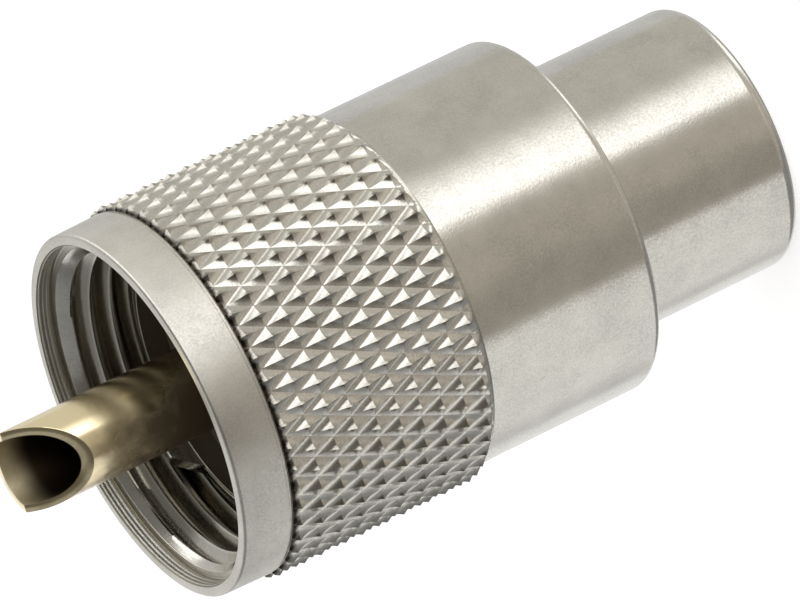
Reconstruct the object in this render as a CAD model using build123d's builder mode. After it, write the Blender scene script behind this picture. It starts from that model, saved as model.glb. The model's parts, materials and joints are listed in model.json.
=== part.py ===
from build123d import *
from math import cos, pi, radians, sin
import os

os.makedirs("parts", exist_ok=True)

# Coaxial plug with a knurled screw-on coupling ring.
# The plug stands on the rear end of its tail, with the centre contact pointing up along +Z.
# Heights are measured from that rear end, and all sizes are in millimetres.

# Plug body, from its rear end upward
CABLE_BORE_RADIUS = 5.25
CABLE_BORE_DEPTH = 10.5
CABLE_BORE_CHAMFER = 0.25
TAIL_WALL = 1.11
TAIL_EDGE_ROUNDING = 0.65
BRAID_BORE_RADIUS = 4.2
BRAID_CHAMBER_LENGTH = 9.0
SOLDER_HOLE_RADIUS = 1.6
SOLDER_HOLE_COUNT = 4
RIM_WALL = 0.72
FLANGE_STEP = 0.83
FLANGE_LENGTH = 3.0
FLANGE_CHAMFER = 0.3
FLANGE_SETBACK = 3.1

# Locating teeth on the front face of the body
TOOTH_COUNT = 2
TOOTH_HEIGHT = 1.1
TOOTH_BASE_WIDTH = 3.9
TOOTH_TIP_WIDTH = 1.7
TOOTH_AZIMUTH = 45.0

# Insulator
INSULATOR_RADIUS = 6.2
INSULATOR_THICKNESS = 3.8
INSULATOR_RECESS = 1.15
SPIGOT_LENGTH = 3.0
BOSS_RADIUS = 3.0
BOSS_HEIGHT = 0.6

# Centre contact, a tube with an obliquely cut tip
CONTACT_RADIUS = 1.985
CONTACT_WALL = 0.385
CONTACT_REACH = 10.2
CONTACT_STUB = 1.6
CONTACT_SHANK_STEP = 0.2
CONTACT_COLLAR_STEP = 0.6
CONTACT_COLLAR_LENGTH = 1.2
CONTACT_EDGE_CHAMFER = 0.12
TIP_CUT_TILT = 51.0
TIP_CUT_DEPTH = 0.45
TIP_CUT_AZIMUTH = 11.0

# Coupling ring
SLEEVE_WALL = 0.51
SLEEVE_EDGE_CHAMFER = 0.3
RELIEF_LENGTH = 13.67
REAR_WALL = 1.7
THREAD_LENGTH = 6.15
THREAD_ENTRY_LENGTH = 0.65
THREAD_ENTRY_STEP = 0.5
MOUTH_DEPTH = 0.8
MOUTH_WALL = 0.62
MOUTH_EDGE_CHAMFER = 0.08
COLLAR_LENGTH = 2.38
COLLAR_STEP = 0.24
COLLAR_TAPER = 0.05
COLLAR_FRONT_CHAMFER = 0.2

# Diamond knurl round the coupling ring
KNURL_COUNT = 52
KNURL_ROWS = 9
KNURL_ROW_PITCH = 1.10
KNURL_HEIGHT = 0.52
KNURL_DEPTH = 0.42
KNURL_EDGE_HEIGHT = 0.04
KNURL_FRONT_BEVEL = 0.38
KNURL_REAR_BEVEL = 0.5
KNURL_GAP = 0.09

# Play of the loose ring on the body
RING_RADIAL_PLAY = 0.34
RING_END_FLOAT = 0.1
RIM_CLEARANCE = 0.48

# Heights along the axis
spigot_end = CABLE_BORE_DEPTH + BRAID_CHAMBER_LENGTH
insulator_seat = spigot_end + SPIGOT_LENGTH
insulator_front = insulator_seat + INSULATOR_THICKNESS
boss_top = insulator_front + BOSS_HEIGHT
body_front = insulator_front + INSULATOR_RECESS
flange_top = body_front - FLANGE_SETBACK
flange_bottom = flange_top - FLANGE_LENGTH
solder_hole_height = CABLE_BORE_DEPTH + BRAID_CHAMBER_LENGTH / 2
contact_tip = body_front + CONTACT_REACH
contact_rear = spigot_end - CONTACT_STUB
collar_seat = spigot_end + CONTACT_COLLAR_LENGTH
thread_end = flange_top + RING_END_FLOAT
mouth_floor = thread_end + THREAD_LENGTH
ring_front = mouth_floor + MOUTH_DEPTH
relief_end = thread_end - RELIEF_LENGTH
ring_rear = relief_end - REAR_WALL
collar_rear = ring_front - COLLAR_LENGTH
knurl_front = collar_rear - KNURL_GAP

# Radii
tail_radius = CABLE_BORE_RADIUS + TAIL_WALL
rim_radius = INSULATOR_RADIUS + RIM_WALL
flange_radius = rim_radius + FLANGE_STEP
contact_bore_radius = CONTACT_RADIUS - CONTACT_WALL
contact_shank_radius = CONTACT_RADIUS + CONTACT_SHANK_STEP
contact_collar_radius = contact_shank_radius + CONTACT_COLLAR_STEP
rear_bore_radius = tail_radius + RING_RADIAL_PLAY
relief_radius = flange_radius + RING_RADIAL_PLAY
thread_radius = rim_radius + RIM_CLEARANCE
sleeve_radius = relief_radius + SLEEVE_WALL
collar_radius = sleeve_radius + COLLAR_STEP
mouth_radius = collar_radius - MOUTH_WALL
knurl_crest_radius = sleeve_radius + KNURL_HEIGHT
knurl_root_radius = knurl_crest_radius - KNURL_DEPTH
knurl_edge_radius = sleeve_radius + KNURL_EDGE_HEIGHT


def radial_plane(azimuth, height):
    """Plane through the axis that looks outward at this azimuth, with its local y along +Z."""
    angle = radians(azimuth)
    return Plane(
        origin=(0, 0, height),
        x_dir=(-sin(angle), cos(angle), 0),
        z_dir=(cos(angle), sin(angle), 0),
    )


# Locating teeth: wedges cut through the wall of the rim
with BuildPart() as teeth:
    for index in range(TOOTH_COUNT):
        azimuth = TOOTH_AZIMUTH + index * 360 / TOOTH_COUNT
        with BuildSketch(radial_plane(azimuth, body_front)):
            with BuildLine():
                Polyline(
                    (-TOOTH_BASE_WIDTH / 2, 0),
                    (TOOTH_BASE_WIDTH / 2, 0),
                    (TOOTH_TIP_WIDTH / 2, TOOTH_HEIGHT),
                    (-TOOTH_TIP_WIDTH / 2, TOOTH_HEIGHT),
                    close=True,
                )
            make_face()
        extrude(amount=rim_radius)
    with BuildSketch(Plane.XY.offset(body_front)):
        Circle(rim_radius)
        Circle(INSULATOR_RADIUS, mode=Mode.SUBTRACT)
    extrude(amount=TOOTH_HEIGHT, mode=Mode.INTERSECT)

# Plug body: one turned shell with the tail, the captive flange and the toothed rim
with BuildPart() as plug_body:
    with BuildSketch(Plane.XZ):
        with BuildLine():
            Polyline(
                (CABLE_BORE_RADIUS, 0),
                (tail_radius, 0),
                (tail_radius, flange_bottom),
                (flange_radius - FLANGE_CHAMFER, flange_bottom),
                (flange_radius, flange_bottom + FLANGE_CHAMFER),
                (flange_radius, flange_top - FLANGE_CHAMFER),
                (flange_radius - FLANGE_CHAMFER, flange_top),
                (rim_radius, flange_top),
                (rim_radius, body_front),
                (INSULATOR_RADIUS, body_front),
                (INSULATOR_RADIUS, insulator_seat),
                (BRAID_BORE_RADIUS, insulator_seat),
                (BRAID_BORE_RADIUS, CABLE_BORE_DEPTH),
                (CABLE_BORE_RADIUS, CABLE_BORE_DEPTH),
                close=True,
            )
        make_face()
    revolve(axis=Axis.Z)
    rear_edges = plug_body.edges().group_by(Axis.Z)[0].sort_by(SortBy.RADIUS)
    fillet(rear_edges[-1], TAIL_EDGE_ROUNDING)
    rear_edges = plug_body.edges().group_by(Axis.Z)[0].sort_by(SortBy.RADIUS)
    chamfer(rear_edges[0], CABLE_BORE_CHAMFER)
    for index in range(SOLDER_HOLE_COUNT):
        with BuildSketch(radial_plane(index * 360 / SOLDER_HOLE_COUNT, solder_hole_height)):
            Circle(SOLDER_HOLE_RADIUS)
        extrude(amount=tail_radius + TAIL_WALL, mode=Mode.SUBTRACT)
    add(teeth.part)

# Insulator: a stepped disc that seats in the body and grips the contact
with BuildPart() as insulator:
    with BuildSketch(Plane.XZ):
        with BuildLine():
            Polyline(
                (contact_shank_radius, boss_top),
                (BOSS_RADIUS, boss_top),
                (BOSS_RADIUS, insulator_front),
                (INSULATOR_RADIUS, insulator_front),
                (INSULATOR_RADIUS, insulator_seat),
                (BRAID_BORE_RADIUS, insulator_seat),
                (BRAID_BORE_RADIUS, spigot_end),
                (contact_collar_radius, spigot_end),
                (contact_collar_radius, collar_seat),
                (contact_shank_radius, collar_seat),
                close=True,
            )
        make_face()
    revolve(axis=Axis.Z)

# Centre contact: a tube open at both ends, held by the collar on its thicker shank
tip_cut_plane = Plane(
    origin=(0, 0, contact_tip - TIP_CUT_DEPTH),
    z_dir=(
        sin(radians(TIP_CUT_TILT)) * cos(radians(TIP_CUT_AZIMUTH)),
        sin(radians(TIP_CUT_TILT)) * sin(radians(TIP_CUT_AZIMUTH)),
        cos(radians(TIP_CUT_TILT)),
    ),
)
with BuildPart() as centre_contact:
    with BuildSketch(Plane.XZ):
        with BuildLine():
            Polyline(
                (contact_bore_radius, contact_rear),
                (contact_shank_radius, contact_rear),
                (contact_shank_radius, spigot_end),
                (contact_collar_radius, spigot_end),
                (contact_collar_radius, collar_seat),
                (contact_shank_radius, collar_seat),
                (contact_shank_radius, boss_top),
                (CONTACT_RADIUS, boss_top),
                (CONTACT_RADIUS, contact_tip),
                (contact_bore_radius, contact_tip),
                close=True,
            )
        make_face()
    revolve(axis=Axis.Z)
    tip_edges = centre_contact.edges().group_by(Axis.Z)[-1].sort_by(SortBy.RADIUS)
    chamfer(tip_edges[-1], CONTACT_EDGE_CHAMFER)
    split(bisect_by=tip_cut_plane, keep=Keep.BOTTOM)


def knurl_level(height, radii):
    """Points round the ring at one height, two for each diamond, with the radii taken in turn."""
    step = pi / KNURL_COUNT
    points = []
    for index in range(2 * KNURL_COUNT):
        radius = radii[index % 2]
        points.append(Vector(radius * cos(index * step), radius * sin(index * step), height))
    return points


def knurl_strip(lower, upper, parity):
    """Triangles between two levels. The parity says which way the first cell is split."""
    triangles = []
    for index in range(len(lower)):
        a = lower[index]
        b = lower[(index + 1) % len(lower)]
        c = upper[(index + 1) % len(upper)]
        d = upper[index]
        if index % 2 == parity:
            triangles += [(a, b, d), (b, c, d)]
        else:
            triangles += [(a, b, c), (a, c, d)]
    return [Face(Wire.make_polygon(triangle)) for triangle in triangles]


def diamond_knurl():
    """Solid band of diamond pyramids: crests at their centres, straight grooves between them."""
    edge_radii = (knurl_edge_radius, knurl_edge_radius)
    crest_first = (knurl_crest_radius, knurl_root_radius)
    root_first = (knurl_root_radius, knurl_crest_radius)
    top_crest = knurl_front - KNURL_FRONT_BEVEL
    bottom_crest = top_crest - KNURL_ROWS * KNURL_ROW_PITCH
    knurl_rear = bottom_crest - KNURL_REAR_BEVEL

    levels = [knurl_level(knurl_rear, edge_radii)]
    for row in range(KNURL_ROWS + 1):
        radii = crest_first if row % 2 == 0 else root_first
        levels.append(knurl_level(bottom_crest + row * KNURL_ROW_PITCH, radii))
    levels.append(knurl_level(knurl_front, edge_radii))

    faces = knurl_strip(levels[0], levels[1], 0)
    for row in range(KNURL_ROWS):
        faces += knurl_strip(levels[row + 1], levels[row + 2], row % 2)
    faces += knurl_strip(levels[-2], levels[-1], (KNURL_ROWS + 1) % 2)
    faces.append(Face(Wire.make_polygon(levels[0])))
    faces.append(Face(Wire.make_polygon(levels[-1])))
    return Solid(Shell(faces))


knurl_band = diamond_knurl()

# Coupling ring: a turned sleeve with the knurled band, a threaded front and an inward rear wall
with BuildPart() as coupling_ring:
    with BuildSketch(Plane.XZ):
        with BuildLine():
            Polyline(
                (0, ring_rear),
                (sleeve_radius, ring_rear),
                (sleeve_radius, collar_rear),
                (collar_radius, collar_rear),
                (collar_radius - COLLAR_TAPER, ring_front - COLLAR_FRONT_CHAMFER),
                (collar_radius - COLLAR_TAPER - COLLAR_FRONT_CHAMFER, ring_front),
                (0, ring_front),
                close=True,
            )
        make_face()
    revolve(axis=Axis.Z)
    chamfer(coupling_ring.edges().group_by(Axis.Z)[0], SLEEVE_EDGE_CHAMFER)
    add(knurl_band)
    with BuildSketch(Plane.XZ):
        with BuildLine():
            Polyline(
                (0, ring_rear),
                (rear_bore_radius, ring_rear),
                (rear_bore_radius, relief_end),
                (relief_radius, relief_end),
                (relief_radius, thread_end),
                (thread_radius, thread_end),
                (thread_radius, mouth_floor - THREAD_ENTRY_LENGTH),
                (thread_radius + THREAD_ENTRY_STEP, mouth_floor),
                (mouth_radius, mouth_floor),
                (mouth_radius, ring_front - MOUTH_EDGE_CHAMFER),
                (mouth_radius + MOUTH_EDGE_CHAMFER, ring_front),
                (0, ring_front),
                close=True,
            )
        make_face()
    revolve(axis=Axis.Z, mode=Mode.SUBTRACT)

plug_body.part.label = "plug_body"
insulator.part.label = "insulator"
centre_contact.part.label = "centre_contact"
coupling_ring.part.label = "coupling_ring"

export_step(plug_body.part, "parts/plug_body.step")
export_step(insulator.part, "parts/insulator.step")
export_step(centre_contact.part, "parts/centre_contact.step")
export_step(coupling_ring.part, "parts/coupling_ring.step")
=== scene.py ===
import json
from contextlib import contextmanager
from math import asin, ceil, cos, hypot, pi, radians, sin, sqrt

import bmesh
import bpy
from bpy.props import FloatProperty, FloatVectorProperty, IntProperty, PointerProperty
from mathutils import Matrix, Vector, noise


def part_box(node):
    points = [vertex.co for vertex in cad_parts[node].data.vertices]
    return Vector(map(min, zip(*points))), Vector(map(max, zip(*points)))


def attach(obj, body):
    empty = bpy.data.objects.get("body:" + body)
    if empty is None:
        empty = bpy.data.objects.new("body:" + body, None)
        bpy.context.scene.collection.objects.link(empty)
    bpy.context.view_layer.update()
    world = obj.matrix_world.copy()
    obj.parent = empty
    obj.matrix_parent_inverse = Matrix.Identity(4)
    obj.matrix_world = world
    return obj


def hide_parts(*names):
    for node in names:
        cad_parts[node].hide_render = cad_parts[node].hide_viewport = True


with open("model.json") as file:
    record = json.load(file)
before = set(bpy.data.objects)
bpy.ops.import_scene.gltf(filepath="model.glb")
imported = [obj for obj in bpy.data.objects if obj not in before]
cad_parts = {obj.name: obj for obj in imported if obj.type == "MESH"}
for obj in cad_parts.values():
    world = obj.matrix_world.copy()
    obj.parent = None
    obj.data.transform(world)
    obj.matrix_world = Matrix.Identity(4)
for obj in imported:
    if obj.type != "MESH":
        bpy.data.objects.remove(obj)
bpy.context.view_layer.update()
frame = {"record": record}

bl_info = {
    "name": "Coaxial plug",
    "version": (1, 0, 0),
    "blender": (4, 5, 0),
    "location": "View3D > Sidebar > Plug",
    "description": "Models and finishes the pieces of a screw-on coaxial plug on its packed frame",
    "category": "Add Mesh",
}

# What the frame gives: the whole box, the box of each CAD node and the radii of the stated mounts
MM = 0.001
RING_LOW, RING_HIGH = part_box("coupling_ring")
BODY_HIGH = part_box("plug_body")[1]
INSULATOR_LOW, INSULATOR_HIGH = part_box("insulator")
CONTACT_LOW, CONTACT_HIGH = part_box("centre_contact")
MOUNT_RADIUS = {
    mount["name"]: mount["dims"]["r_mm"] * MM
    for mount in frame["record"]["mounts"] if "r_mm" in mount["dims"]
}

# How close two points or heights must be to count as one, and above which angle an edge is crisp
HAIR = 0.001 * MM
CRISP = radians(32)
CRISP_ON_RING = radians(30)
# Mesh steps round the pieces beside the ring
BODY_SIDES, INSULATOR_SIDES, CONTACT_SIDES, HOLE_SIDES = 240, 180, 160, 48


def linear(code):
    """Linear colour of an sRGB hex code such as #A8A498."""
    channels = [int(code[start:start + 2], 16) / 255 for start in (1, 3, 5)]
    return [c / 12.92 if c <= 0.04045 else ((c + 0.055) / 1.055) ** 2.4 for c in channels]


def length(description, millimetres):
    """A length property, given in millimetres and held in metres."""
    return FloatProperty(description=description, default=millimetres * MM, unit="LENGTH", precision=6)


def angle(description, turn):
    """An angle property, given in degrees and held in radians."""
    return FloatProperty(description=description, default=radians(turn), unit="ROTATION")


def number(description, value):
    """A plain number property."""
    return FloatProperty(description=description, default=value)


def count(description, value):
    """A whole number property."""
    return IntProperty(description=description, default=value, min=1)


def colour(description, code):
    """A colour property, given as an sRGB hex code."""
    return FloatVectorProperty(
        description=description, default=[*linear(code), 1], size=4, min=0, max=1, subtype="COLOR"
    )


class RingSizes(bpy.types.PropertyGroup):
    """Coupling ring"""
    crest_radius: length("Outside of the knurl's crests", 9.12)
    sleeve_radius: length("Outside of the plain sleeve behind the knurl", 8.6)
    rear_rounding: length("Rounding of the sleeve's rear edge", 0.38)
    collar_radius: length("Outside of the plain collar at the mouth", 8.84)
    collar_length: length("Plain collar from the front face backward", 2.38)
    collar_taper: length("How much narrower the collar is at its front", 0.05)
    collar_chamfer: length("Rounding of the front edge", 0.15)
    mouth_radius: length("Inside of the plain mouth in front of the thread", 8.22)
    mouth_depth: length("From the front face to the start of the thread", 0.8)
    mouth_undercut: length("Thin groove at the floor of the mouth", 0.05)
    mouth_bevel: length("Bevel of the inner edges", 0.08)
    rear_bore_radius: length("Hole in the rear wall, round the tail", 6.7)
    rear_wall: length("Thickness of the rear wall", 1.7)
    relief_radius: length("Plain bore behind the thread", 8.09)
    relief_length: length("Plain bore behind the thread", 13.67)


class KnurlSizes(bpy.types.PropertyGroup):
    """Knurl"""
    count: count("Diamonds round the ring", 52)
    samples: count("Mesh steps along one side of a diamond", 10)
    diamond_length: length("Length of one diamond along the axis", 2.2)
    band_start: length("Height of the rearmost row of whole crests", 18.65)
    band_length: length("From the rearmost row of whole crests to the foremost", 10.1)
    front_bevel: length("Bevelled end of the band at the collar", 0.11)
    rear_bevel: length("Bevelled end of the band at the sleeve", 0.5)
    edge_radius: length("Radius at the end of the rear bevel", 8.64)
    gap_radius: length("Floor of the fine groove between the band and the collar", 8.74)
    depth: length("From crest to groove bottom", 0.31)
    steepness: number("Sine of the slope of the round grooves at their crests", 0.88)
    straightness: number("Share of a straight V in the second family of grooves", 0.5)
    uneven_depth: length("How far some crests stay lower than others", 0.05)
    uneven_size: length("Distance over which the height of the crests changes", 0.9)


class ThreadSizes(bpy.types.PropertyGroup):
    """Thread"""
    pitch: length("Rise of one turn, 24 turns to the inch", 25.4 / 24)
    depth: length("From crest to root", 0.53)
    crest_width: length("Flat at the crest", 0.1)
    root_width: length("Flat at the root", 0.12)
    entry_length: length("Chamfered first turn at the mouth", 0.65)
    run_out: length("Chamfer at the inner end", 0.4)
    crest_height: length("Height of one crest at the crest azimuth", 29.25)
    crest_azimuth: angle("Where the crest height was read", 211)
    sides: count("Mesh steps round one turn", 312)


class BodySizes(bpy.types.PropertyGroup):
    """Plug body"""
    tail_radius: length("Outside of the tail", 6.36)
    tail_rounding: length("Rounding of the tail's rear edge", 0.65)
    bore_chamfer: length("Chamfer of the cable bore", 0.25)
    cable_bore_depth: length("Depth of the cable bore from the rear end", 10.5)
    braid_radius: length("Radius of the chamber behind the insulator", 4.2)
    flange_radius: length("Flange that keeps the ring captive", 7.75)
    flange_start: length("Rear face of the flange", 21.35)
    flange_end: length("Front face of the flange", 24.35)
    flange_chamfer: length("Chamfers of the flange", 0.3)
    rim_radius: length("Outside of the toothed rim", 6.92)
    rim_height: length("Front face of the rim between the teeth", 27.45)
    rim_edge: length("Fine bevel of the rim's edges", 0.06)
    tooth_base: length("Width of a tooth at its foot", 3.9)
    tooth_tip: length("Width of a tooth at its top", 1.7)
    tooth_azimuth: angle("Direction of the first tooth", 45)
    tooth_count: count("Locating teeth round the rim", 2)
    hole_radius: length("Radius of the holes in the tail under the ring", 1.6)
    hole_height: length("Height of the solder holes", 15.0)
    hole_count: count("Solder holes round the tail", 4)


class InsulatorSizes(bpy.types.PropertyGroup):
    """Insulator"""
    seat_height: length("Height of the step in the body that carries the disc", 22.5)
    disc_height: length("Front face of the disc round the boss", 26.3)
    boss_radius: length("Boss round the contact", 3.0)
    edge: length("Moulded rounding of the boss", 0.15)


class ContactSizes(bpy.types.PropertyGroup):
    """Centre contact"""
    shank_radius: length("Thicker part inside the insulator", 2.185)
    collar_radius: length("Collar that holds the contact in the insulator", 2.785)
    collar_start: length("Rear face of the collar", 19.5)
    collar_end: length("Front face of the collar", 20.7)
    tip_chamfer: length("Bevel round the outside of the tip", 0.08)
    cut_height: length("Where the oblique cut crosses the axis", 37.2)
    cut_tilt: angle("Tilt of the oblique cut", 51)
    cut_azimuth: angle("Direction that the cut faces", 11)
    cut_edge: length("Fine bevel round the bore at the tip", 0.04)


class Finishes(bpy.types.PropertyGroup):
    """Finishes"""
    nickel: colour("Warm satin nickel of the ring and the body", "#DCD9D0")
    nickel_shade: colour("Duller patches of the plate", "#C6C3BB")
    # Painted shade: the colour that darkens the bores, the thread's roots and the undercut
    recess: colour("Dull plate deep in the bores and the thread's roots", "#96907F")
    # Painted shade: the colour that darkens the flanks of the knurl
    flank: colour("Dragged metal on the flanks of the knurl", "#8E887C")
    # Painted shade: the colour in the ends of the knurl's grooves beside the collar
    dirt: colour("In the ends of the knurl beside the collar", "#37322B")
    brass: colour("Drawn brass of the contact", "#FFF0C8")
    # Real stains, and painted shade toward the root and on the side away from the light
    brass_stain_and_shade: colour("Darker tarnish on the contact", "#8E7E68")
    # Painted shade: the colour that the bore darkens to, deeper in
    brass_bore: colour("Oxide in the bore of the contact", "#44372A")
    phenolic: colour("Dark moulded insulator", "#6E675B")
    floor: colour("Plain floor", "#F7F7F7")


class StageSettings(bpy.types.PropertyGroup):
    """Stage"""
    azimuth: angle("Side of the plug that faces the camera", 31)
    elevation: angle("Height of the camera over the horizon", 22.14)
    roll: angle("Turn of the camera about its line of sight", -115.82)
    distance: length("From the camera to the point it aims at", 536.19)
    aim_height: length("Height of the point that the camera aims at", 17.63)
    aim_offset: length("Sideways shift of the point that the camera aims at", -0.432)
    focal_length: number("Focal length in millimetres for a 36 mm sensor", 540)
    floor_size: length("Side of the square floor", 3000)
    studio_azimuth: angle("Direction of the big lamp", 69)


GROUPS = {
    "plug_ring": RingSizes,
    "plug_knurl": KnurlSizes,
    "plug_thread": ThreadSizes,
    "plug_body": BodySizes,
    "plug_insulator": InsulatorSizes,
    "plug_contact": ContactSizes,
    "plug_finishes": Finishes,
    "plug_stage": StageSettings,
}


# Modelling helpers

def select_only(piece):
    """Selects one object and makes it the active one."""
    bpy.ops.object.select_all(action="DESELECT")
    piece.select_set(True)
    bpy.context.view_layer.objects.active = piece


@contextmanager
def editing(piece):
    """Edit mode on one piece, with its mesh for direct changes, and back to object mode."""
    select_only(piece)
    bpy.ops.object.mode_set(mode="EDIT")
    yield bmesh.from_edit_mesh(piece.data)
    bmesh.update_edit_mesh(piece.data)
    bpy.ops.mesh.select_mode(type="VERT")
    bpy.ops.object.mode_set(mode="OBJECT")


def add_primitive(kind, name, **settings):
    """Adds a simple mesh under a name, and leaves it as the only selected object."""
    bpy.ops.object.select_all(action="DESELECT")
    getattr(bpy.ops.mesh, f"primitive_{kind}_add")(**settings)
    piece = bpy.context.object
    piece.name = piece.data.name = name
    return piece


def rounded(centre, radius, start, end, steps=6):
    """Points (radius, height) of a round profile corner, from one angle to another in degrees."""
    turns = [radians(start + (end - start) * index / steps) for index in range(steps + 1)]
    return [(centre[0] + radius * cos(turn), centre[1] + radius * sin(turn)) for turn in turns]


def extrude_circle(radius, height, profile):
    """Extrudes the selected circle through more profile points, in edit mode."""
    for next_radius, next_height in profile:
        bpy.ops.mesh.extrude_region_move(TRANSFORM_OT_translate={"value": (0, 0, next_height - height)})
        scale = next_radius / radius
        bpy.ops.transform.resize(value=(scale, scale, 1), center_override=(0, 0, next_height))
        radius, height = next_radius, next_height


def turn_profile(name, profile, sides):
    """A turned shell: a circle at the first profile point, extruded from each point to the next."""
    radius, height = profile[0]
    piece = add_primitive(
        "circle", name, vertices=sides, radius=radius, fill_type="NOTHING", location=(0, 0, height)
    )
    bpy.ops.object.transform_apply(location=True, rotation=True, scale=True)
    with editing(piece):
        extrude_circle(radius, height, profile[1:])
    return piece


def join(pieces):
    """Joins several objects into the first one."""
    select_only(pieces[0])
    for piece in pieces:
        piece.select_set(True)
    bpy.ops.object.join()
    return pieces[0]


def close_seams(piece, recalculate=True):
    """Merges doubled vertices and turns the faces outward."""
    with editing(piece):
        bpy.ops.mesh.select_all(action="SELECT")
        bpy.ops.mesh.remove_doubles(threshold=2 * HAIR)
        if recalculate:
            bpy.ops.mesh.select_all(action="SELECT")
            bpy.ops.mesh.normals_make_consistent(inside=False)


def select_open_edges(mesh, low, high):
    """Selects the open edges between two heights in edit mode, and gives their radius."""
    bpy.ops.mesh.select_mode(type="EDGE")
    bpy.ops.mesh.select_all(action="DESELECT")
    radius = 0
    for edge in mesh.edges:
        if edge.is_boundary and all(low - HAIR < vert.co.z < high + HAIR for vert in edge.verts):
            edge.select = True
            radius = hypot(edge.verts[0].co.x, edge.verts[0].co.y)
    return radius


def bridge_circles(piece, low, high):
    """Closes the bevel between the two open circles at two heights."""
    with editing(piece) as mesh:
        select_open_edges(mesh, low, high)
        bpy.ops.mesh.bridge_edge_loops()


def extend_profile(piece, height, profile):
    """Extrudes the open circle at one height through more profile points."""
    with editing(piece) as mesh:
        radius = select_open_edges(mesh, height - HAIR, height + HAIR)
        extrude_circle(radius, height, profile)


def apply_modifier(piece, kind, **settings):
    """Adds one modifier with its settings and applies it."""
    select_only(piece)
    modifier = piece.modifiers.new(kind.lower(), kind)
    for name, value in settings.items():
        setattr(modifier, name, value)
    bpy.ops.object.modifier_apply(modifier=modifier.name)


def weigh_normals(piece):
    """Lets long faces keep their own direction beside narrow ones."""
    apply_modifier(piece, "WEIGHTED_NORMAL", weight=50, keep_sharp=True)


def crease_shells(piece, low, high, wall_radius):
    """Creases the plain parts of the ring by angle and leaves the knurl outside the wall as it was drawn."""
    slack = 2 * HAIR
    with editing(piece) as mesh:
        for edge in mesh.edges:
            heights = [vert.co.z for vert in edge.verts]
            outside = min(hypot(vert.co.x, vert.co.y) for vert in edge.verts) > wall_radius
            in_band = low - slack < min(heights) and max(heights) < high + slack
            on_end = max(heights) < low + slack or min(heights) > high - slack
            if in_band and outside and not on_end:
                continue
            edge.smooth = len(edge.link_faces) == 2 and edge.calc_face_angle() < CRISP_ON_RING
        for face in mesh.faces:
            face.smooth = True
    weigh_normals(piece)


def smooth(piece):
    """Smooth shading, with crisp edges above the limit."""
    select_only(piece)
    bpy.ops.object.shade_smooth_by_angle(angle=CRISP)
    weigh_normals(piece)


def finish_piece(piece, body, node, material):
    """Gives a piece its material, and ties it to the CAD body and node that it stands for."""
    piece.data.materials.clear()
    piece.data.materials.append(material)
    for face in piece.data.polygons:
        face.material_index = 0
    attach(piece, body)
    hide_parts(node)


# Materials

def add_node(tree, kind, inputs=None, **settings):
    """Adds one node with its settings. An input is a plain value or the socket that feeds it."""
    node = tree.nodes.new(kind)
    for name, value in settings.items():
        setattr(node, name, value)
    for socket, value in (inputs or {}).items():
        if isinstance(value, bpy.types.NodeSocket):
            tree.links.new(value, node.inputs[socket])
        else:
            node.inputs[socket].default_value = value
    return node


def arithmetic(tree, operation, *terms, clamp=False):
    """A socket with the result of one operation on sockets and plain numbers."""
    node = add_node(tree, "ShaderNodeMath", dict(enumerate(terms)), operation=operation, use_clamp=clamp)
    return node.outputs[0]


def product(tree, first, *others):
    """A socket with the product of several sockets and plain numbers."""
    for other in others:
        first = arithmetic(tree, "MULTIPLY", first, other)
    return first


def ramp(tree, value, start, end, low=0.0, high=1.0, kind="LINEAR"):
    """A socket that goes from low to high while a value goes from start to end."""
    ends = {"Value": value, "From Min": start, "From Max": end, "To Min": low, "To Max": high}
    return add_node(tree, "ShaderNodeMapRange", ends, interpolation_type=kind).outputs["Result"]


def ease(tree, value, start, end, low=0.0, high=1.0):
    """A ramp with soft ends."""
    return ramp(tree, value, start, end, low, high, "SMOOTHSTEP")


def mixed(tree, share, first, second):
    """A socket with a mix of two values."""
    return add_node(tree, "ShaderNodeMix", {0: share, 2: first, 3: second}).outputs[0]


def mixed_colour(tree, share, first, second):
    """A socket with a mix of two colours."""
    return add_node(tree, "ShaderNodeMix", {0: share, 6: first, 7: second}, data_type="RGBA").outputs[2]


def speckle(tree, place, size, detail, roughness=0.5):
    """A socket with noise whose spots are about one size across."""
    node = add_node(
        tree, "ShaderNodeTexNoise",
        {"Vector": place, "Scale": 1 / size, "Detail": detail, "Roughness": roughness},
    )
    return node.outputs["Fac"]


def new_material(name):
    """An empty node material, its tree and a socket with the surface point in object coordinates."""
    material = bpy.data.materials.new(name)
    material.use_nodes = True
    tree = material.node_tree
    tree.nodes.clear()
    return material, tree, add_node(tree, "ShaderNodeTexCoord").outputs["Object"]


def principled(tree, inputs, strength, distance, relief):
    """Ends a material with one shader over a fine relief."""
    bump = add_node(tree, "ShaderNodeBump", {"Strength": strength, "Distance": distance, "Height": relief})
    shader = add_node(tree, "ShaderNodeBsdfPrincipled", {**inputs, "Normal": bump.outputs["Normal"]})
    add_node(tree, "ShaderNodeOutputMaterial", {"Surface": shader.outputs["BSDF"]})


def distance_from_axis(tree, place):
    """A socket with the distance of a surface point from the plug's axis."""
    flat = add_node(tree, "ShaderNodeVectorMath", {0: place, 1: (1.0, 1.0, 0.0)}, operation="MULTIPLY")
    return add_node(
        tree, "ShaderNodeVectorMath", {0: flat.outputs["Vector"]}, operation="LENGTH"
    ).outputs["Value"]


def height_over_floor(tree, place):
    """A socket with the height of a surface point, along the plug's axis."""
    return add_node(tree, "ShaderNodeSeparateXYZ", {"Vector": place}).outputs["Z"]


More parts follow.
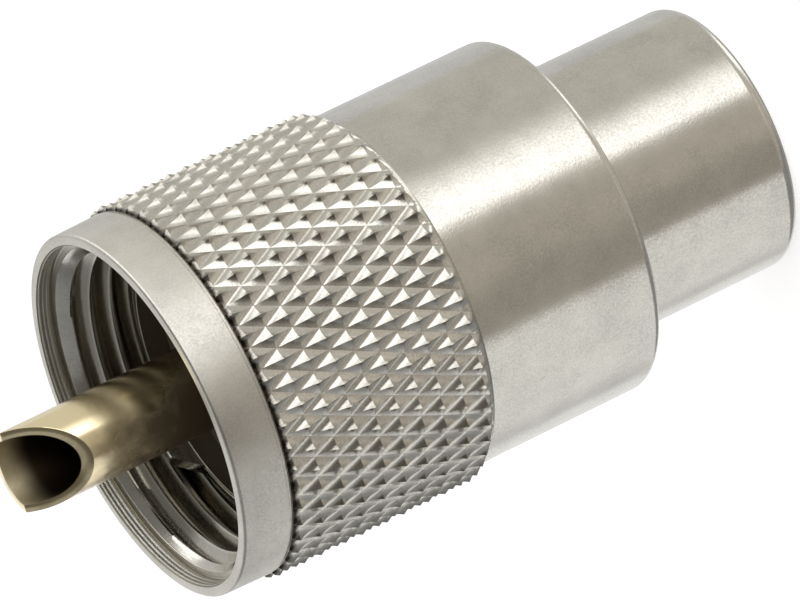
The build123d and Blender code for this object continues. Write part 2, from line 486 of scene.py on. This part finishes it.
def satin_nickel_plate(finishes, recess_radius, recess_top, recess_depth, root_radius, flanks=None):
    """Nickel plate over turned brass, barrel plated: a warm grey with a fine soft grain, with painted shade
    in the recesses and, on the ring, on the knurl's flanks and in its groove ends.
    """
    material, tree, place = new_material("satin_nickel_plate")
    radius = distance_from_axis(tree, place)
    height = height_over_floor(tree, place)
    # Duller patches from handling, about 2 mm across
    patches = speckle(tree, place, 2.0 * MM, 4.0, 0.6)
    # Grain of the plate. The real one is finer than 0.05 mm; drawn 0.1 mm wide so that it shows
    grain = speckle(tree, place, 0.1 * MM, 2.0, 0.6)
    shade = ramp(tree, product(tree, patches, grain), 0.12, 0.38)
    plate = mixed_colour(tree, shade, finishes.nickel, finishes.nickel_shade)
    # Painted shade deep in the bore and in the thread's roots: the plate is coloured darker there
    inside = arithmetic(tree, "LESS_THAN", radius, recess_radius)
    depth = ramp(tree, height, recess_top, recess_top - recess_depth)
    root = ease(tree, radius, root_radius - 0.53 * MM, root_radius - 0.42 * MM, 0.0, 0.8)
    # Painted shade in the undercut at the foot of the turned wall, dark all round
    undercut = arithmetic(tree, "GREATER_THAN", radius, recess_radius - 0.05 * MM)
    dark = arithmetic(tree, "MAXIMUM", product(tree, depth, root), undercut)
    tone = mixed_colour(tree, product(tree, dark, inside), plate, finishes.recess)
    # The plain wall in front of the recess was left as turned, with tool marks 0.2 mm apart all round
    past_recess = ramp(tree, height, recess_top - 0.05 * MM, recess_top + 0.05 * MM)
    turned = product(tree, past_recess, inside)
    marks = arithmetic(tree, "SINE", product(tree, height, 2 * pi / (0.2 * MM)))
    relief = arithmetic(tree, "MULTIPLY_ADD", product(tree, marks, turned), 6.0, grain)
    roughness = ramp(tree, grain, 0.3, 0.7, 0.13, 0.24)
    roughness = arithmetic(tree, "ADD", roughness, product(tree, turned, 0.3))
    if flanks:
        foot_radius, top_radius, band_end = flanks
        in_band = arithmetic(tree, "LESS_THAN", height, band_end)
        # Painted shade on the flanks of the diamonds, which are coloured darker than the grooves
        flank = ease(tree, radius, foot_radius, top_radius, 0.0, 0.5)
        tone = mixed_colour(tree, product(tree, flank, in_band), tone, finishes.flank)
        # Painted shade in the ends of the knurl's grooves beside the collar
        near_gap = ramp(tree, height, band_end - 0.36 * MM, band_end - 0.14 * MM)
        low_down = ramp(tree, radius, top_radius + 0.02 * MM, foot_radius)
        dirt = product(tree, near_gap, low_down, in_band)
        gap_shade_outside = arithmetic(tree, "SUBTRACT", dirt, inside, clamp=True)
        tone = mixed_colour(tree, gap_shade_outside, tone, finishes.dirt)
        # The plain collar was left duller than the sleeve
        past_band = arithmetic(tree, "GREATER_THAN", height, band_end)
        outside = arithmetic(tree, "SUBTRACT", 0.22, inside, clamp=True)
        roughness = arithmetic(tree, "ADD", roughness, product(tree, past_band, outside))
    metal = {"Metallic": 1.0, "Base Color": tone, "Roughness": roughness}
    principled(tree, metal, 0.35, 0.008 * MM, relief)
    return material


def drawn_brass(finishes, bore_radius, root, tip):
    """Bare brass tube, drawn: pale yellow at the tip, with stains; painted shade toward the root in the mouth
    and on the side away from the light, and painted shade deeper in the bore.
    """
    material, tree, place = new_material("drawn_brass")
    height = height_over_floor(tree, place)
    # Drawing lines, 0.15 mm apart round the tube and long along it
    stretched = add_node(tree, "ShaderNodeMapping", {"Vector": place, "Scale": (1.0, 1.0, 0.05)})
    lines = speckle(tree, stretched.outputs["Vector"], 0.15 * MM, 2.0)
    # Stains about 1.2 mm across, under painted shade that grows toward the root, deep in the mouth
    stains = speckle(tree, place, 1.2 * MM, 4.0)
    root_shade = ramp(tree, height, tip, root, -0.3, 0.6)
    # Painted light: the side that azimuth 85 degrees faces is coloured paler, as lit, and the other side
    # darker, as shaded
    lit_side = (cos(radians(85)), sin(radians(85)), 0)
    toward_lit_side = add_node(tree, "ShaderNodeVectorMath", {0: place, 1: lit_side}, operation="DOT_PRODUCT")
    side_shade = ease(tree, toward_lit_side.outputs["Value"], 1.9 * MM, 0.6 * MM, -0.2, 0.2)
    root_and_side_shade = arithmetic(tree, "ADD", root_shade, side_shade)
    stains_and_shade = ramp(tree, arithmetic(tree, "ADD", stains, root_and_side_shade), 0.4, 1.0)
    outside = mixed_colour(tree, stains_and_shade, finishes.brass, finishes.brass_stain_and_shade)
    # Painted shade in the bore, darker deeper in and paler just inside the blunt end where light reaches
    in_bore = arithmetic(tree, "LESS_THAN", distance_from_axis(tree, place), bore_radius + 0.03 * MM)
    bore_shade = ease(tree, height, tip - 0.3 * MM, tip - 1.6 * MM, 0.35, 1.0)
    tone = mixed_colour(tree, product(tree, in_bore, bore_shade), outside, finishes.brass_bore)
    # Where the stains and the painted shade cover the tube it is rougher, and so is its bore
    dullness = ramp(tree, stains, 0.0, 1.0, 0.1, 0.24)
    stains_and_shade_dullness = ease(tree, stains_and_shade, 0.3, 1.0, 0.1, 0.45)
    dullest = arithmetic(tree, "MAXIMUM", dullness, stains_and_shade_dullness)
    roughness = arithmetic(tree, "MAXIMUM", dullest, product(tree, in_bore, 0.5))
    metal = {"Metallic": 1.0, "Base Color": tone, "Roughness": roughness}
    principled(tree, metal, 0.12, 0.006 * MM, lines)
    return material


def moulded_phenolic(finishes):
    """Phenolic resin, compression moulded: near black with a dull skin."""
    material, tree, place = new_material("moulded_phenolic")
    # Filler flecks in the moulded skin, 0.3 mm across
    flecks = speckle(tree, place, 0.3 * MM, 3.0)
    dullness = ramp(tree, flecks, 0.0, 1.0, 0.4, 0.6)
    resin = {"Base Color": finishes.phenolic, "IOR": 1.5, "Specular IOR Level": 0.4, "Roughness": dullness}
    principled(tree, resin, 0.3, 0.01 * MM, flecks)
    return material


def painted_floor(finishes):
    """Matt white board: pale to the camera, with the object's own shadow on it."""
    material, tree, _ = new_material("matt_white_board")
    diffuse = add_node(tree, "ShaderNodeBsdfDiffuse", {"Color": finishes.floor, "Roughness": 0.5})
    # The camera sees the board a little brighter, so that its colour reaches plain white
    path = add_node(tree, "ShaderNodeLightPath")
    seen = path.outputs["Is Camera Ray"]
    for ray in ("Is Glossy Ray", "Is Transmission Ray"):
        seen = arithmetic(tree, "MAXIMUM", seen, path.outputs[ray])
    glow = add_node(
        tree, "ShaderNodeEmission", {"Color": (1.0, 1.0, 1.0, 1.0), "Strength": product(tree, seen, 0.7)}
    )
    both = add_node(tree, "ShaderNodeAddShader", {0: diffuse.outputs["BSDF"], 1: glow.outputs["Emission"]})
    add_node(tree, "ShaderNodeOutputMaterial", {"Surface": both.outputs["Shader"]})
    return material


# Pieces

def knurl_diamond(knurl, ring):
    """One raised diamond of the knurl: a grid turned on its corner, drawn up to a point and wrapped."""
    steps = knurl.samples
    near = 0.1 / steps
    diamond = add_primitive(
        "grid", "knurled_coupling_ring", x_subdivisions=steps, y_subdivisions=steps, size=1
    )
    with editing(diamond) as mesh:
        bpy.ops.transform.rotate(value=radians(45), orient_axis="Z", center_override=(0, 0, 0))
        # Half a diamond is now half a unit wide and half a unit long
        bpy.ops.transform.resize(value=(sqrt(0.5), sqrt(0.5), 1), center_override=(0, 0, 0))
        # The four ridges run from the crest to the corners: the faces on them are folded there
        for face in list(mesh.faces):
            centre = face.calc_center_median()
            on_length, on_width = abs(centre.x) < near, abs(centre.y) < near
            if on_length or on_width:
                corners = sorted(face.verts, key=lambda vert: vert.co.y if on_length else vert.co.x)
                bmesh.utils.face_split(face, corners[0], corners[-1])
        for edge in mesh.edges:
            on_length = all(abs(vert.co.x) < near for vert in edge.verts)
            on_width = all(abs(vert.co.y) < near for vert in edge.verts)
            in_groove = all(abs(abs(vert.co.x - vert.co.y) - 0.5) < near for vert in edge.verts)
            edge.smooth = not (on_length or on_width or in_groove)
        cell = 2 * pi / knurl.count
        flat = sqrt(1 - knurl.steepness ** 2)
        for vert in mesh.verts:
            wide, long = vert.co.x, vert.co.y
            # One wheel of the knurling tool is worn and leaves round grooves, the other cuts a sharper V
            from_round, from_sharp = 0.5 - abs(wide + long), 0.5 - abs(wide - long)
            straight = 2 * max(min(from_round, from_sharp), 0)
            rise = (1 - sqrt(1 - (knurl.steepness * straight) ** 2)) / (1 - flat)
            share = knurl.straightness * from_round / max(from_round + from_sharp, 0.01)
            rise += (straight - rise) * share
            radius = ring.crest_radius - knurl.depth * (1 - rise)
            height = knurl.band_start + long * knurl.diamond_length
            vert.co = (radius * cos(wide * cell), radius * sin(wide * cell), height)
        for face in mesh.faces:
            face.smooth = True
    return diamond


def repeat_round(piece, turn, rise, count):
    """Copies a piece round the axis with an array that turns about an empty, and merges the copies."""
    bpy.ops.object.select_all(action="DESELECT")
    bpy.ops.object.empty_add(location=(0, 0, rise), rotation=(0, 0, turn))
    guide = bpy.context.object
    apply_modifier(
        piece, "ARRAY", count=count, use_relative_offset=False, use_object_offset=True, offset_object=guide
    )
    bpy.data.objects.remove(guide)
    close_seams(piece, recalculate=False)


def knurl_band(knurl, ring):
    """The whole knurled band: the diamond copied along and round, cut and bevelled at its ends."""
    band = knurl_diamond(knurl, ring)
    cell = 2 * pi / knurl.count
    step = knurl.diamond_length / (2 * knurl.samples)
    low = knurl.band_start - round(knurl.rear_bevel / step) * step
    crest_top = knurl.band_start + knurl.band_length
    high = crest_top + round(knurl.front_bevel / step) * step
    for vert in band.data.vertices:
        vert.co.z -= knurl.diamond_length
    repeat_round(band, cell / 2, knurl.diamond_length / 2, 2)
    rows = ceil(knurl.band_length / knurl.diamond_length) + 2
    apply_modifier(
        band, "ARRAY", count=rows, use_relative_offset=False, use_constant_offset=True,
        constant_offset_displace=(0, 0, knurl.diamond_length),
    )
    repeat_round(band, cell, 0, knurl.count)
    drop = ring.crest_radius - knurl.edge_radius
    groove_radius = ring.crest_radius - knurl.depth
    with editing(band) as mesh:
        for height, above in ((low, False), (high, True)):
            bpy.ops.mesh.select_all(action="SELECT")
            bpy.ops.mesh.bisect(
                plane_co=(0, 0, height), plane_no=(0, 0, 1), threshold=HAIR,
                clear_outer=above, clear_inner=not above,
            )
        # The ends are bevelled down to one plain circle each
        for vert in mesh.verts:
            radius = hypot(vert.co.x, vert.co.y)
            # The crests are pressed up unevenly, by a few hundredths of a millimetre
            uneven = max(0, noise.noise(vert.co / knurl.uneven_size))
            rise = (radius - groove_radius) / knurl.depth
            lowered = radius - knurl.uneven_depth * uneven * rise
            front = groove_radius + knurl.depth * (high - vert.co.z) / (high - crest_top)
            rear = knurl.edge_radius + drop * (vert.co.z - low) / (knurl.band_start - low)
            limit = min(lowered, front, rear)
            if abs(vert.co.z - low) < HAIR:
                limit = knurl.edge_radius
            elif abs(vert.co.z - high) < HAIR:
                limit = groove_radius
            vert.co.x *= limit / radius
            vert.co.y *= limit / radius
    return band, low, high


def mouth_thread(thread, minor_radius, low, high):
    """The inside thread: one turn of its profile drawn point by point, screwed up and trimmed to its ends."""
    pitch = thread.pitch
    root_radius = minor_radius + thread.depth
    crest = thread.crest_width / 2
    root = pitch / 2 - thread.root_width / 2
    corners = [
        (minor_radius, -crest), (minor_radius, crest), (root_radius, root), (root_radius, pitch - root),
        (minor_radius, pitch - crest),
    ]
    points = [corners[0]]
    for (radius, height), (next_radius, next_height) in zip(corners, corners[1:]):
        parts = 4 if radius != next_radius else 1
        for part in range(1, parts + 1):
            share = part / parts
            points.append((radius + (next_radius - radius) * share, height + (next_height - height) * share))
    # A crest passes through the height and azimuth that were read in the mouth
    start = thread.crest_height - pitch * thread.crest_azimuth / (2 * pi)
    start -= pitch * ceil((start - low) / pitch + 1)
    turns = add_primitive("plane", "mouth_thread", size=MM)
    with editing(turns):
        bpy.ops.mesh.merge(type="CENTER")
        bpy.ops.transform.translate(value=(points[0][0], 0, start + points[0][1]))
        for (radius, height), (next_radius, next_height) in zip(points, points[1:]):
            bpy.ops.mesh.extrude_vertices_move(
                TRANSFORM_OT_translate={"value": (next_radius - radius, 0, next_height - height)}
            )
    count = ceil((high - low) / pitch) + 3
    apply_modifier(
        turns, "SCREW", angle=2 * pi, screw_offset=pitch, iterations=count, steps=thread.sides,
        render_steps=thread.sides, use_merge_vertices=True, merge_threshold=HAIR,
    )
    edge_radius = root_radius + 0.01 * MM
    for vert in turns.data.vertices:
        radius = hypot(vert.co.x, vert.co.y)
        height = min(max(vert.co.z, low), high)
        entry = edge_radius - (edge_radius - minor_radius) * (high - height) / thread.entry_length
        exit_radius = edge_radius - (edge_radius - minor_radius) * (height - low) / thread.run_out
        wanted = max(radius, entry, exit_radius)
        vert.co = (vert.co.x * wanted / radius, vert.co.y * wanted / radius, height)
    close_seams(turns, recalculate=False)
    return turns, edge_radius


class PLUG_OT_coupling_ring(bpy.types.Operator):
    """Models the knurled coupling ring with its threaded mouth"""
    bl_idname = "plug.coupling_ring"
    bl_label = "Coupling ring"

    def execute(self, context):
        ring = context.scene.plug_ring
        knurl = context.scene.plug_knurl
        thread = context.scene.plug_thread
        front, rear = RING_HIGH.z, RING_LOW.z
        band, low, high = knurl_band(knurl, ring)
        close_seams(band, recalculate=False)
        bevel = ring.collar_chamfer
        lip = ring.mouth_bevel
        front_radius = ring.collar_radius - ring.collar_taper
        collar_end = front - ring.collar_length
        extend_profile(band, high, [
            (knurl.gap_radius, high + 0.02 * MM),
            (knurl.gap_radius, collar_end),
            (ring.collar_radius - 0.03 * MM, collar_end),
            (ring.collar_radius, collar_end + 0.03 * MM),
            *rounded((front_radius - bevel, front - bevel), bevel, 0, 90, 6),
            (ring.mouth_radius + lip, front),
        ])
        rounding = ring.rear_rounding
        corner = (ring.sleeve_radius - rounding, rear + rounding)
        extend_profile(band, low, [
            (ring.sleeve_radius, low - 0.03 * MM),
            (ring.sleeve_radius, rear + rounding + 0.05 * MM),
            *rounded(corner, rounding, 0, -90, 8),
            (ring.rear_bore_radius + lip, rear),
        ])
        thread_low = rear + ring.rear_wall + ring.relief_length
        thread_high = front - ring.mouth_depth
        turns, edge_radius = mouth_thread(thread, MOUNT_RADIUS["coupling_thread"], thread_low, thread_high)
        mouth = turn_profile("mouth", [
            (edge_radius, thread_high),
            (ring.mouth_radius - 0.02 * MM, thread_high),
            (ring.mouth_radius + ring.mouth_undercut, thread_high + 0.03 * MM),
            (ring.mouth_radius + ring.mouth_undercut, thread_high + 0.12 * MM),
            (ring.mouth_radius, thread_high + 0.17 * MM),
            (ring.mouth_radius, front - lip),
        ], thread.sides)
        relief = turn_profile("relief", [
            (edge_radius, thread_low),
            (ring.relief_radius, thread_low),
            (ring.relief_radius, rear + ring.rear_wall),
            (ring.rear_bore_radius, rear + ring.rear_wall),
            (ring.rear_bore_radius, rear + lip),
        ], thread.sides)
        inside = join([turns, mouth, relief])
        close_seams(inside, recalculate=False)
        piece = join([band, inside])
        bridge_circles(piece, front - lip, front)
        bridge_circles(piece, rear, rear + lip)
        close_seams(piece)
        crease_shells(piece, low, high, (ring.mouth_radius + ring.sleeve_radius) / 2)
        # The plate carries painted shade in the mouth, the thread's roots, the undercut, the knurl's flanks
        # and its groove ends
        plate = satin_nickel_plate(
            context.scene.plug_finishes, ring.mouth_radius + ring.mouth_undercut + 0.02 * MM, thread_high,
            2.0 * MM, edge_radius,
            (ring.crest_radius - 0.75 * knurl.depth, ring.crest_radius - 0.35 * knurl.depth, high),
        )
        finish_piece(piece, "ring", "coupling_ring", plate)
        return {"FINISHED"}


class PLUG_OT_body(bpy.types.Operator):
    """Models the plug body with its toothed rim and tail"""
    bl_idname = "plug.body"
    bl_label = "Plug body"

    def execute(self, context):
        body = context.scene.plug_body
        insulator = context.scene.plug_insulator
        rim, edge = body.rim_height, body.rim_edge
        seat_radius = INSULATOR_HIGH.x
        cable_radius = MOUNT_RADIUS["cable_bore"]
        corner = (body.tail_radius - body.tail_rounding, body.tail_rounding)
        chamfer = body.flange_chamfer
        outside = turn_profile("plug_body_shell", [
            (cable_radius + body.bore_chamfer, 0),
            *rounded(corner, body.tail_rounding, -90, 0, 10),
            (body.tail_radius, body.flange_start),
            (body.flange_radius - chamfer, body.flange_start),
            (body.flange_radius, body.flange_start + chamfer),
            (body.flange_radius, body.flange_end - chamfer),
            (body.flange_radius - chamfer, body.flange_end),
            (body.rim_radius, body.flange_end),
            (body.rim_radius, rim - edge),
            (body.rim_radius - edge * 0.3, rim - edge * 0.3),
            (body.rim_radius - edge, rim),
            (seat_radius + edge, rim),
            (seat_radius + edge * 0.3, rim - edge * 0.3),
            (seat_radius, rim - edge),
            (seat_radius, insulator.seat_height),
            (body.braid_radius, insulator.seat_height),
            (body.braid_radius, body.cable_bore_depth),
            (cable_radius, body.cable_bore_depth),
            (cable_radius, body.bore_chamfer),
            (cable_radius + body.bore_chamfer, 0),
        ], BODY_SIDES)
        close_seams(outside)
        raise_teeth(outside, body)
        bore_holes(outside, body)
        smooth(outside)
        # The plate carries painted shade inside the rim, darker below its front face
        plate = satin_nickel_plate(
            context.scene.plug_finishes, seat_radius + 0.01 * MM, rim, 0.3 * MM, seat_radius
        )
        finish_piece(outside, "plug", "plug_body", plate)
        return {"FINISHED"}


def raise_teeth(piece, body):
    """Extrudes the teeth from the flat of the rim and tapers them toward their tips."""
    select_only(piece)
    bpy.ops.object.mode_set(mode="EDIT")
    for index in range(body.tooth_count):
        azimuth = body.tooth_azimuth + 2 * pi * index / body.tooth_count
        along = Vector((cos(azimuth), sin(azimuth), 0))
        across = Vector((-sin(azimuth), cos(azimuth), 0))
        bpy.ops.mesh.select_mode(type="FACE")
        bpy.ops.mesh.select_all(action="DESELECT")
        mesh = bmesh.from_edit_mesh(piece.data)
        for face in mesh.faces:
            centre = face.calc_center_median()
            flat = abs(centre.z - body.rim_height) < HAIR and face.normal.z > 0.99
            if flat and centre.dot(along) > 0 and abs(centre.dot(across)) < body.tooth_base / 2:
                face.select = True
        bmesh.update_edit_mesh(piece.data)
        bpy.ops.mesh.extrude_region_move(
            TRANSFORM_OT_translate={"value": (0, 0, BODY_HIGH.z - body.rim_height)}
        )
        mesh = bmesh.from_edit_mesh(piece.data)
        taper = body.tooth_tip / body.tooth_base
        for vert in mesh.verts:
            if vert.select:
                radius = hypot(vert.co.x, vert.co.y)
                turn = asin(vert.co.dot(across) * taper / radius)
                height = Vector((0, 0, vert.co.z))
                vert.co = along * (radius * cos(turn)) + across * (radius * sin(turn)) + height
        bmesh.update_edit_mesh(piece.data)
        bpy.ops.mesh.bevel(offset=body.rim_edge, segments=2, affect="EDGES", clamp_overlap=True)
    bpy.ops.mesh.select_mode(type="VERT")
    bpy.ops.object.mode_set(mode="OBJECT")


def bore_holes(piece, body):
    """Bores the solder holes through the tail."""
    for index in range(body.hole_count):
        azimuth = 2 * pi * index / body.hole_count
        middle = (body.braid_radius + body.tail_radius) / 2
        drill = add_primitive(
            "cylinder", "drill", vertices=HOLE_SIDES, radius=body.hole_radius,
            depth=2 * (body.tail_radius - body.braid_radius),
            location=(middle * cos(azimuth), middle * sin(azimuth), body.hole_height),
            rotation=(0, pi / 2, azimuth),
        )
        apply_modifier(piece, "BOOLEAN", operation="DIFFERENCE", solver="EXACT", object=drill)
        bpy.data.objects.remove(drill)


class PLUG_OT_insulator(bpy.types.Operator):
    """Models the moulded insulator disc with its boss"""
    bl_idname = "plug.insulator"
    bl_label = "Insulator"

    def execute(self, context):
        insulator = context.scene.plug_insulator
        contact = context.scene.plug_contact
        body = context.scene.plug_body
        edge = insulator.edge
        radius, low, top = INSULATOR_HIGH.x, INSULATOR_LOW.z, INSULATOR_HIGH.z
        piece = turn_profile("moulded_insulator", [
            (contact.collar_radius, low),
            (body.braid_radius, low),
            (body.braid_radius, insulator.seat_height),
            (radius, insulator.seat_height),
            (radius, insulator.disc_height),
            *rounded((insulator.boss_radius + edge, insulator.disc_height + edge), edge, -90, -180, 4),
            *rounded((insulator.boss_radius - edge, top - edge), edge, 0, 90, 4),
            (contact.shank_radius, top),
            (contact.shank_radius, contact.collar_end),
            (contact.collar_radius, contact.collar_end),
            (contact.collar_radius, low),
        ], INSULATOR_SIDES)
        close_seams(piece)
        smooth(piece)
        finish_piece(piece, "plug", "insulator", moulded_phenolic(context.scene.plug_finishes))
        return {"FINISHED"}


class PLUG_OT_contact(bpy.types.Operator):
    """Models the tubular centre contact with its obliquely cut tip"""
    bl_idname = "plug.contact"
    bl_label = "Centre contact"

    def execute(self, context):
        contact = context.scene.plug_contact
        insulator_top = INSULATOR_HIGH.z
        tip, tail = CONTACT_HIGH.z, CONTACT_LOW.z
        outer, inner = MOUNT_RADIUS["centre_pin"], MOUNT_RADIUS["conductor_bore"]
        shank, collar = contact.shank_radius, contact.collar_radius
        piece = turn_profile("drawn_contact", [
            (inner, tip),
            (inner, tail),
            (shank, tail),
            (shank, contact.collar_start),
            (collar, contact.collar_start),
            (collar, contact.collar_end),
            (shank, contact.collar_end),
            (shank, insulator_top),
            (outer, insulator_top),
            (outer, tip),
        ], CONTACT_SIDES)
        # The oblique cut takes off the upper part of one side, and the two walls are joined again
        azimuth, tilt = contact.cut_azimuth, contact.cut_tilt
        normal = (sin(tilt) * cos(azimuth), sin(tilt) * sin(azimuth), cos(tilt))
        with editing(piece) as mesh:
            bpy.ops.mesh.select_all(action="SELECT")
            bpy.ops.mesh.bisect(
                plane_co=(0, 0, contact.cut_height), plane_no=normal, threshold=HAIR, clear_outer=True
            )
            select_open_edges(mesh, tail, tip)
            bpy.ops.mesh.bridge_edge_loops()
            bpy.ops.mesh.select_all(action="SELECT")
            bpy.ops.mesh.normals_make_consistent(inside=False)
            bevel_rim(mesh, outer, contact.tip_chamfer, insulator_top)
            bevel_rim(mesh, inner, contact.cut_edge, insulator_top)
        smooth(piece)
        brass = drawn_brass(context.scene.plug_finishes, inner, insulator_top + MM, tip)
        finish_piece(piece, "plug", "centre_contact", brass)
        return {"FINISHED"}


def bevel_rim(mesh, radius, width, floor):
    """Bevels the edges at the end of a tube wall of one radius, in edit mode."""
    bpy.ops.mesh.select_all(action="DESELECT")
    for edge in mesh.edges:
        on_wall = all(abs(hypot(vert.co.x, vert.co.y) - radius) < 4 * HAIR for vert in edge.verts)
        above = all(vert.co.z > floor + MM for vert in edge.verts)
        if on_wall and above and len(edge.link_faces) == 2 and edge.calc_face_angle() > radians(20):
            edge.select = True
    bpy.ops.mesh.bevel(offset=width, segments=2, affect="EDGES", clamp_overlap=True)


class PLUG_OT_stage(bpy.types.Operator):
    """Sets up the floor, the soft studio light and the camera"""
    bl_idname = "plug.stage"
    bl_label = "Stage"

    def execute(self, context):
        stage = context.scene.plug_stage
        floor = add_primitive("plane", "floor", size=stage.floor_size)
        floor.data.materials.append(painted_floor(context.scene.plug_finishes))
        # The metal mirrors the studio and not the floor, as the real plug does lying far from it
        floor.visible_glossy = False
        studio_light(stage)
        place_camera(stage)
        context.scene.view_settings.view_transform = "Standard"
        return {"FINISHED"}


def studio_light(stage):
    """A soft studio round the object: a white table, warm grey walls, two windows and a big lamp over it."""
    world = bpy.data.worlds.new("studio")
    bpy.context.scene.world = world
    world.use_nodes = True
    world.cycles.sampling_method = "NONE"
    tree = world.node_tree
    tree.nodes.clear()
    # How far a direction points up to the lamp, to the far side and along the plug to its front end
    direction = add_node(tree, "ShaderNodeTexCoord").outputs["Generated"]
    shares = []
    for turn in (stage.studio_azimuth, stage.studio_azimuth + pi / 2):
        toward = {0: direction, 1: (cos(turn), sin(turn), 0)}
        node = add_node(tree, "ShaderNodeVectorMath", toward, operation="DOT_PRODUCT")
        shares.append(node.outputs["Value"])
    facing, side = shares
    along = height_over_floor(tree, direction)
    is_far = ease(tree, side, -0.05, 0.05)
    over_horizon = ramp(tree, facing, -0.015, 0.015)
    # The near wall is darker than the far one, most of all low down
    room = mixed(tree, is_far, ease(tree, facing, 0.4, 0.6, 0.39, 0.5), 0.62)
    # Both darken toward the front end, the near one sooner, and the near one is brighter at the rear end
    near_ends = product(
        tree, ease(tree, along, -0.25, 0.05, 1.0, 0.3), ease(tree, along, -0.5, -0.62, 1.0, 1.35)
    )
    far_front = ease(tree, along, 0.2, 0.7, 1.0, 0.3)
    walls = product(tree, room, mixed(tree, is_far, near_ends, far_front))
    # The white table is darker right under the object, and its near side where the object shades it
    unshaded = product(tree, ease(tree, along, -0.56, -0.44), ease(tree, along, -0.12, -0.28))
    shading = ramp(tree, unshaded, 0.0, 1.0, 0.33, 1.0)
    near_table = product(tree, ease(tree, facing, -0.95, -0.85, 0.62, 0.95), shading)
    far_table = ease(tree, facing, -0.72, -0.6, 0.95, 0.68)
    table = mixed(tree, is_far, near_table, far_table)
    surround = mixed(tree, over_horizon, table, walls)
    # Two windows on the far side, one toward each end, light the upper flanks of the knurl only
    front_pane = product(tree, ease(tree, along, -0.15, 0.0), ease(tree, along, 0.6, 0.45))
    rear_pane = ease(tree, along, -0.7, -0.82)
    far_wall = product(tree, ease(tree, side, 0.1, 0.35, 0.0, 1.3), ease(tree, facing, 0.0, 0.12))
    windows = product(tree, arithmetic(tree, "ADD", front_pane, rear_pane), far_wall)
    # The lamp over the front half has a clear slanted edge on the near side and fades away on the far side
    slant = arithmetic(tree, "MULTIPLY_ADD", along, 0.9, 0.34)
    edge = ease(tree, arithmetic(tree, "ADD", side, slant), -0.3, -0.24)
    fade = ease(tree, side, -0.15, 0.42, 1.0, 0.0)
    reach = ease(tree, along, -0.5, -0.41)
    lamp = product(tree, ease(tree, facing, 0.77, 0.84, 0.0, 1.6), product(tree, edge, fade, reach))
    lights = arithmetic(tree, "ADD", windows, lamp)
    # The walls are warm, the near one most, and the lights on them are white
    warm = mixed_colour(tree, is_far, (1.0, 0.93, 0.83, 1.0), (1.0, 0.98, 0.91, 1.0))
    unlit = arithmetic(tree, "SUBTRACT", 1.0, lights, clamp=True)
    tint = mixed_colour(tree, product(tree, over_horizon, unlit), (1.0, 1.0, 1.0, 1.0), warm)
    radiance = arithmetic(tree, "ADD", surround, lights)
    light = add_node(tree, "ShaderNodeBackground", {"Color": tint, "Strength": radiance})
    add_node(tree, "ShaderNodeOutputWorld", {"Surface": light.outputs["Background"]})


def place_camera(stage):
    """The camera at the photograph's angle, with a long lens."""
    camera = bpy.data.cameras.new("camera")
    camera.lens = stage.focal_length
    camera.sensor_width = 36
    camera.clip_start = 0.01
    holder = bpy.data.objects.new("camera", camera)
    bpy.context.scene.collection.objects.link(holder)
    out = Vector((cos(stage.azimuth), sin(stage.azimuth), 0))
    aside = Vector((-sin(stage.azimuth), cos(stage.azimuth), 0))
    aim = aside * stage.aim_offset + Vector((0, 0, stage.aim_height))
    back = out * cos(stage.elevation) + Vector((0, 0, sin(stage.elevation)))
    turned = back.to_track_quat("Z", "Y").to_matrix().to_4x4() @ Matrix.Rotation(stage.roll, 4, "Z")
    holder.matrix_world = Matrix.Translation(aim + back * stage.distance) @ turned
    bpy.context.scene.camera = holder


OPERATORS = (
    PLUG_OT_stage, PLUG_OT_coupling_ring, PLUG_OT_body, PLUG_OT_insulator, PLUG_OT_contact
)


class PLUG_PT_sidebar(bpy.types.Panel):
    """Lists the pieces of the plug and the stage"""
    bl_idname = "PLUG_PT_sidebar"
    bl_label = "Coaxial plug"
    bl_space_type = "VIEW_3D"
    bl_region_type = "UI"
    bl_category = "Plug"

    def draw(self, context):
        for operator in OPERATORS:
            self.layout.operator(operator.bl_idname)
        for name, group in GROUPS.items():
            box = self.layout.box()
            box.label(text=group.__doc__)
            settings = getattr(context.scene, name)
            for prop in group.__annotations__:
                box.prop(settings, prop)


def register():
    for group in GROUPS.values():
        # The panel shows each setting under its own name
        for name, setting in group.__annotations__.items():
            setting.keywords["name"] = name.replace("_", " ").capitalize()
        bpy.utils.register_class(group)
    for name, group in GROUPS.items():
        setattr(bpy.types.Scene, name, PointerProperty(type=group))
    for operator in OPERATORS:
        bpy.utils.register_class(operator)
    bpy.utils.register_class(PLUG_PT_sidebar)


def unregister():
    bpy.utils.unregister_class(PLUG_PT_sidebar)
    for operator in reversed(OPERATORS):
        bpy.utils.unregister_class(operator)
    for name in GROUPS:
        delattr(bpy.types.Scene, name)
    for group in reversed(list(GROUPS.values())):
        bpy.utils.unregister_class(group)


def main():
    """Builds the stage and every piece."""
    register()
    for operator in OPERATORS:
        group, name = operator.bl_idname.split(".")
        getattr(getattr(bpy.ops, group), name)()


if __name__ == "__main__":
    main()
